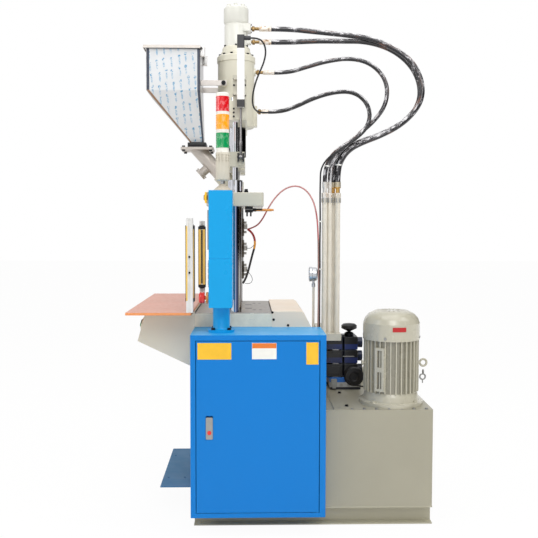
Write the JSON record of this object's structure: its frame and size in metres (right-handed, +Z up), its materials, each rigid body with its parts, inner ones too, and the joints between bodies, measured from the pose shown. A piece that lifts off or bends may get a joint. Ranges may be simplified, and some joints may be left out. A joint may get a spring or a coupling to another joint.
{
  "type": "vertical injection moulding machine",
  "caption": "Upright hydraulic machine that melts plastic granules and injects them down into a mould on its lower platen, with cabinet, oil tank and pump motor.",
  "frame": {"origin": "the injection axis where it meets the floor", "axes": "+Z up along the injection axis, +X from the operator's side towards the oil tank, -Y towards the cabinet's door"},
  "size_m": [1.4266, 1.174, 2.472],
  "materials": {
    "frame_paint": "satin grey-beige enamel",
    "cabinet_paint": "gloss blue powder coat",
    "console_paint": "gloss light blue powder coat",
    "cast_grey": "machined and oiled",
    "chrome": "hard chrome, polished",
    "steel": "turned",
    "stainless": "stainless sheet",
    "dark_steel": "blackened",
    "aluminium": "anodised",
    "brass": "turned",
    "laminate": "satin laminate",
    "black_plastic": "matt",
    "grey_plastic": "matt",
    "red_plastic": "gloss",
    "green_plastic": "gloss",
    "lens": "translucent",
    "yellow_paint": "satin",
    "valve_paint": "gloss",
    "hose_rubber": "smooth cover",
    "sleeve": "braided sleeve"
  },
  "bodies": {
    "machine": {"base_frame": "frame_paint", "press_frame": "cabinet_paint", "cover_sheets": "frame_paint", "lower_platen": "frame_paint", "clamp_cylinder": "steel", "table_top": "laminate", "control_housing": "frame_paint", "light_curtains": "aluminium", "foot_plate": "cabinet_paint", "cabinet_body": "cabinet_paint", "control_gear": "grey_plastic", "console_column": "console_paint", "oil_tank": "frame_paint", "motor_body": "frame_paint", "fan_cowl": "frame_paint", "valve_manifold": "valve_paint", "valve_bodies": "valve_paint", "steel_pipes": "frame_paint", "gauge_case": "stainless", "hose_1": "hose_rubber", "hose_2": "hose_rubber", "hose_3": "hose_rubber", "hose_4": "hose_rubber", "sensor_cable": "hose_rubber", "heater_lead": "sleeve"},
    "clamp": {"tie_bars": "chrome", "clamp_crosshead": "cast_grey", "upper_platen": "frame_paint", "feed_block": "frame_paint", "barrel": "steel", "nozzle": "steel", "heater_bands": "dark_steel", "stay_rods": "chrome", "injection_cylinder": "frame_paint", "hydraulic_motor": "frame_paint", "transducer": "aluminium", "hose_fittings": "brass", "feed_chute": "stainless", "hopper": "stainless"},
    "ram": {"ram_crosshead": "frame_paint", "ram_rod": "chrome"},
    "console": {"console_box": "console_paint", "console_panel": "grey_plastic", "tower_body": "grey_plastic", "tower_lenses": "lens"},
    "door": {"cabinet_door": "cabinet_paint"},
    "latch": {"latch_handle": "stainless"},
    "latch_push": {"latch_button": "red_plastic"},
    "main_switch": {"switch_knob": "black_plastic"},
    "stop": {"stop_button": "red_plastic"},
    "selector": {"selector_knob": "black_plastic"},
    "start_near": {"start_button_near": "green_plastic"},
    "start_far": {"start_button_far": "green_plastic"},
    "relief": {"relief_knob": "black_plastic"},
    "rotor": {"motor_rotor": "steel"},
    "needle": {"gauge_needle": "black_plastic"},
    "drain": {"drain_cap": "stainless"},
    "lid": {"hopper_lid": "stainless"},
    "gate": {"hopper_gate": "stainless"},
    "screw": {"feed_screw": "steel"}
  },
  "joints": [
    {"name": "clamp_slide", "type": "slide", "parent": "machine", "child": "clamp", "axis": [0, 0, 1], "range_m": [-0.07, 0], "deforming": ["hose_1", "hose_2", "hose_3", "hose_4", "sensor_cable", "heater_lead"]},
    {"name": "ram_slide", "type": "slide", "parent": "clamp", "child": "ram", "axis": [0, 0, 1], "range_m": [0, 0.125]},
    {"name": "screw_spin", "type": "hinge", "parent": "ram", "child": "screw", "pos_m": [0, 0, 1.3], "axis": [0, 0, 1], "continuous": true},
    {"name": "lid_hinge", "type": "hinge", "parent": "clamp", "child": "lid", "pos_m": [-0.155, 0, 2.24], "axis": [0, 1, 0], "range_deg": [0, 105]},
    {"name": "gate_slide", "type": "slide", "parent": "clamp", "child": "gate", "axis": [0, 1, 0], "range_m": [0, 0.07]},
    {"name": "drain_pull", "type": "slide", "parent": "clamp", "child": "drain", "axis": [-0.7408, 0, -0.6717], "range_m": [0, 0.02]},
    {"name": "console_swivel", "type": "hinge", "parent": "machine", "child": "console", "pos_m": [-0.058, -0.475, 1], "axis": [0, 0, 1], "range_deg": [-25, 25]},
    {"name": "stop_press", "type": "slide", "parent": "console", "child": "stop", "axis": [1, 0, 0], "range_m": [0, 0.005], "stiffness_N_per_m": 600, "springref_m": -0.01},
    {"name": "selector_turn", "type": "hinge", "parent": "console", "child": "selector", "pos_m": [-0.109, -0.564, 1.488], "axis": [1, 0, 0], "range_deg": [-45, 45]},
    {"name": "start_near_press", "type": "slide", "parent": "machine", "child": "start_near", "axis": [0.9646, 0, -0.2637], "range_m": [0, 0.004], "stiffness_N_per_m": 500, "springref_m": -0.01},
    {"name": "start_far_press", "type": "slide", "parent": "machine", "child": "start_far", "axis": [0.9646, 0, -0.2637], "range_m": [0, 0.004], "stiffness_N_per_m": 500, "springref_m": -0.01},
    {"name": "relief_turn", "type": "hinge", "parent": "machine", "child": "relief", "pos_m": [0.585, 0.03, 0.88], "axis": [0, 0, 1], "range_deg": [-180, 180]},
    {"name": "rotor_spin", "type": "hinge", "parent": "machine", "child": "rotor", "pos_m": [0.741, -0.31, 0.7], "axis": [0, 0, 1], "continuous": true},
    {"name": "needle_turn", "type": "hinge", "parent": "machine", "child": "needle", "pos_m": [0.369, -0.19, 1.134], "axis": [1, 0, 0], "range_deg": [0, 270], "stiffness_Nm_per_rad": 0.0005, "springref_deg": -11.46},
    {"name": "door_hinge", "type": "hinge", "parent": "machine", "child": "door", "pos_m": [0.368, -0.59, 0.485], "axis": [0, 0, 1], "range_deg": [0, 110]},
    {"name": "latch_swing", "type": "hinge", "parent": "door", "child": "latch", "pos_m": [-0.107, -0.589, 0.525], "axis": [-1, 0, 0], "range_deg": [0, 60]},
    {"name": "latch_press", "type": "slide", "parent": "latch", "child": "latch_push", "axis": [0, 1, 0], "range_m": [0, 0.0025], "stiffness_N_per_m": 300, "springref_m": -0.01},
    {"name": "main_switch_turn", "type": "hinge", "parent": "machine", "child": "main_switch", "pos_m": [0.404, -0.45, 0.468], "axis": [1, 0, 0], "range_deg": [0, 90]}
  ]
}
